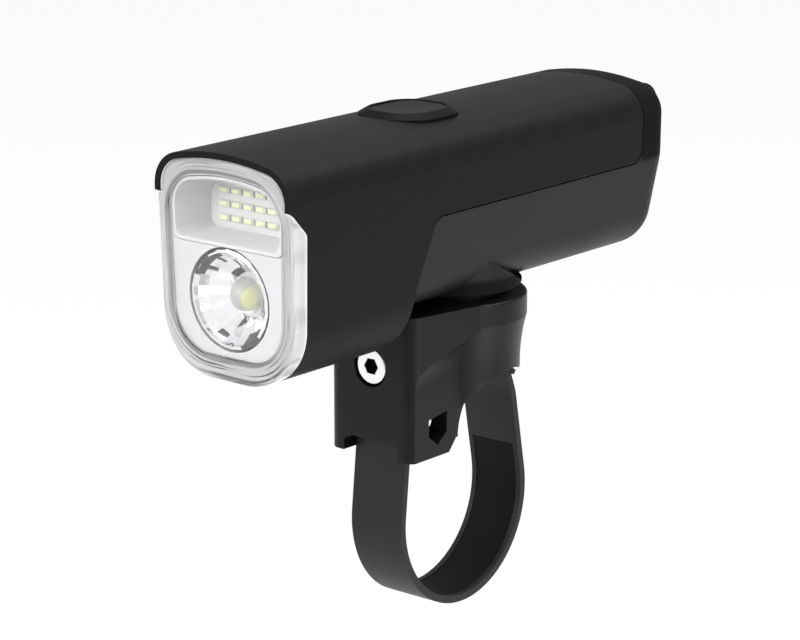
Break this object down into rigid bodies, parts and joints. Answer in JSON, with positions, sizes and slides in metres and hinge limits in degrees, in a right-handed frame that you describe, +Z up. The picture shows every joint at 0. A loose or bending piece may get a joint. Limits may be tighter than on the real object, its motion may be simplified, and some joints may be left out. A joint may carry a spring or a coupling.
{
  "type": "bicycle headlight",
  "caption": "Slim black bicycle headlight with a clear wrap-round lens, a spot reflector under a row of flood LEDs, and a twist-lock strap mount for the handlebar.",
  "frame": {"origin": "on the handlebar's axis, under the middle of the saddle of the strap mount", "axes": "+X along the handlebar towards the side seen at the right of the picture, beam along -Y, +Z up"},
  "size_m": [0.033, 0.1203, 0.1017],
  "materials": {
    "casing_alloy": "satin",
    "cover_plastic": "satin",
    "mount_plastic": "matte",
    "strap_rubber": "matte",
    "seal_rubber": "matte",
    "button_rubber": "satin",
    "clear_lens": "clear, polished",
    "bezel_plastic": "satin",
    "mirror_coating": "polished",
    "white_reflector": "satin",
    "led_package": "satin",
    "led_phosphor": "matte",
    "led_silicone": "clear",
    "metal_core_board": "satin",
    "plain_alloy": "satin",
    "thermal_rubber": "matte",
    "bright_steel": "polished",
    "plain_steel": "satin",
    "nut_brass": "satin",
    "cell_wrap": "gloss",
    "white_card": "matte",
    "black_plastic": "matte",
    "foam": "matte",
    "green_board": "satin",
    "chip_plastic": "matte"
  },
  "bodies": {
    "mount": {"mount_base": "mount_plastic", "socket_ring": "black_plastic", "saddle_pad": "seal_rubber", "strap": "strap_rubber", "strap_liner": "seal_rubber", "anchor_pin": "bright_steel", "bolt_washer": "plain_steel"},
    "head": {"upper_casing": "casing_alloy", "front_lens": "clear_lens", "lens_gasket": "seal_rubber", "bezel_plate": "bezel_plastic", "main_reflector": "mirror_coating", "flood_reflector": "white_reflector", "led_board": "metal_core_board", "main_led": "led_package", "main_led_phosphor": "led_phosphor", "main_led_dome": "led_silicone", "flood_leds": "led_package", "thermal_pad": "thermal_rubber", "heat_sink": "plain_alloy", "led_board_screws": "plain_steel", "lower_cover": "cover_plastic", "cover_seal": "seal_rubber", "cap_screws": "plain_steel", "twist_foot": "mount_plastic", "foot_screws": "plain_steel", "battery_cell": "cell_wrap", "cell_insulator": "white_card", "contact_tabs": "plain_steel", "battery_pads": "foam", "battery_cradle": "black_plastic", "driver_board": "green_board", "board_components": "chip_plastic", "switch_body": "chip_plastic", "button_frame": "cover_plastic", "usb_socket": "plain_steel", "usb_board": "green_board", "port_anchor": "seal_rubber"},
    "button": {"button_cap": "button_rubber", "switch_plunger": "black_plastic"},
    "port_flap": {"port_cover": "seal_rubber"},
    "clamp_bolt": {"clamp_bolt": "bright_steel"},
    "strap_pull": {"strap_nut": "nut_brass", "strap_slider": "black_plastic"}
  },
  "joints": [
    {"name": "head_twist", "type": "hinge", "parent": "mount", "child": "head", "pos_m": [0, -0.0017, 0.0266], "axis": [0, 0, 1], "range_deg": [0, 90]},
    {"name": "button_press", "type": "slide", "parent": "head", "child": "button", "axis": [0, 0, -1], "range_m": [0, 0.0005], "stiffness_N_per_m": 1500, "springref_m": -0.0003},
    {"name": "flap_hinge", "type": "hinge", "parent": "head", "child": "port_flap", "pos_m": [0, 0.05235, 0.03705], "axis": [-1, 0, 0], "range_deg": [0, 100]},
    {"name": "bolt_turn", "type": "hinge", "parent": "mount", "child": "clamp_bolt", "pos_m": [0, -0.0255, 0.0156], "axis": [0, 1, 0], "range_deg": [0, 1080]},
    {"name": "nut_slide", "type": "slide", "parent": "mount", "child": "strap_pull", "axis": [0, -1, 0], "range_m": [0, 0.0021]}
  ],
  "couplings": [
    {"joint": "nut_slide", "follows": "bolt_turn", "m_per_rad": 0.00011141}
  ]
}
